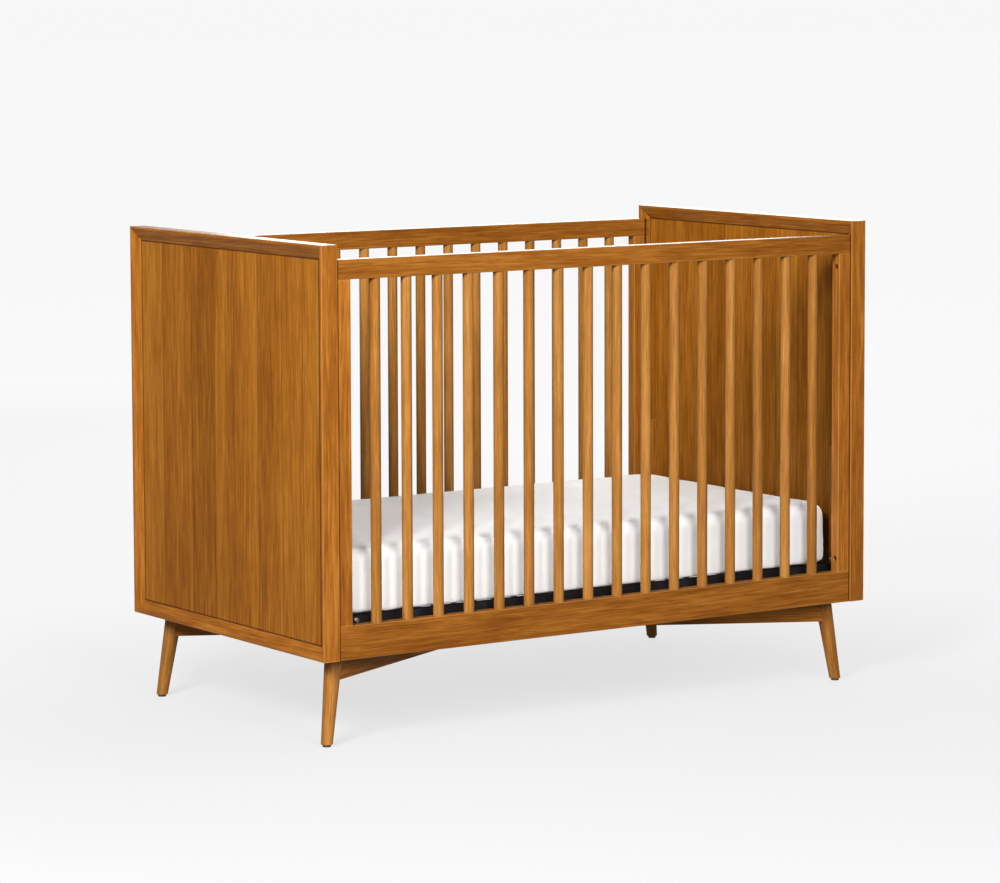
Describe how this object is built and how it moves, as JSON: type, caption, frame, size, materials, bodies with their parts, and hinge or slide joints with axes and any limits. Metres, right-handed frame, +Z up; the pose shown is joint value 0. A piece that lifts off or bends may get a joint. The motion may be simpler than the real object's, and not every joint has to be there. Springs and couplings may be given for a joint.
{
  "type": "baby crib",
  "caption": "Wooden baby crib with solid bevel-framed ends, fixed slatted sides, splayed tapered legs on a crossed base, an adjustable steel support and a mattress in a fitted sheet.",
  "frame": {"origin": "on the floor, midway between the ends and midway between the two slatted sides", "axes": "+X along the crib's length towards its right end, +Y towards its back side, +Z up"},
  "size_m": [1.38, 0.78, 1.01],
  "materials": {
    "frame_wood": "warm acorn brown stain, satin",
    "panel_veneer": "vertical veneer in the same stain, satin",
    "spindle_wood": "turned, lighter acorn stain, satin",
    "inner_wood": "stained, satin",
    "dowel_wood": "unstained beech",
    "black_steel": "black powder coat",
    "zinc_steel": "bright zinc",
    "brass_insert": "plain",
    "glide_plastic": "dark brown moulded",
    "mattress_cover": "white fitted cotton sheet"
  },
  "bodies": {
    "crib": {"back_bottom_rail": "frame_wood", "back_left_cleat": "inner_wood", "back_left_corner_block": "inner_wood", "back_left_leg": "frame_wood", "back_left_stile": "frame_wood", "back_right_cleat": "inner_wood", "back_right_corner_block": "inner_wood", "back_right_leg": "frame_wood", "back_right_stile": "frame_wood", "back_spindles": "spindle_wood", "back_top_rail": "frame_wood", "beam_bolts": "zinc_steel", "beam_front_left_to_back_right": "frame_wood", "beam_front_right_to_back_left": "frame_wood", "block_screws": "zinc_steel", "cleat_screws": "zinc_steel", "foot_glides": "glide_plastic", "front_bottom_rail": "frame_wood", "front_left_cleat": "inner_wood", "front_left_corner_block": "inner_wood", "front_left_leg": "frame_wood", "front_left_stile": "frame_wood", "front_right_cleat": "inner_wood", "front_right_corner_block": "inner_wood", "front_right_leg": "frame_wood", "front_right_stile": "frame_wood", "front_spindles": "spindle_wood", "front_top_rail": "frame_wood", "left_end_back_stile": "frame_wood", "left_end_bottom_rail": "frame_wood", "left_end_front_stile": "frame_wood", "left_end_panel": "panel_veneer", "left_end_top_rail": "frame_wood", "leg_bolts": "zinc_steel", "mitre_dowels": "dowel_wood", "right_end_back_stile": "frame_wood", "right_end_bottom_rail": "frame_wood", "right_end_front_stile": "frame_wood", "right_end_panel": "panel_veneer", "right_end_top_rail": "frame_wood", "side_bolts": "zinc_steel", "stile_dowels": "dowel_wood", "support_bolts": "zinc_steel", "threaded_inserts": "brass_insert"},
    "mattress_support": {"back_left_hanger": "black_steel", "back_right_hanger": "black_steel", "front_left_hanger": "black_steel", "front_right_hanger": "black_steel", "support_back_tube": "black_steel", "support_brace_bolts": "zinc_steel", "support_brace_nuts": "zinc_steel", "support_braces": "black_steel", "support_cross_wires": "black_steel", "support_front_tube": "black_steel", "support_left_tube": "black_steel", "support_long_wires": "black_steel", "support_right_tube": "black_steel"},
    "mattress": {"mattress": "mattress_cover"}
  },
  "joints": [
    {"name": "mattress_support_height", "type": "slide", "parent": "crib", "child": "mattress_support", "axis": [0, 0, 1], "range_m": [0, 0.23]},
    {"name": "mattress_lift", "type": "slide", "parent": "mattress_support", "child": "mattress", "axis": [0, 0, 1], "range_m": [0, 0.8]}
  ]
}
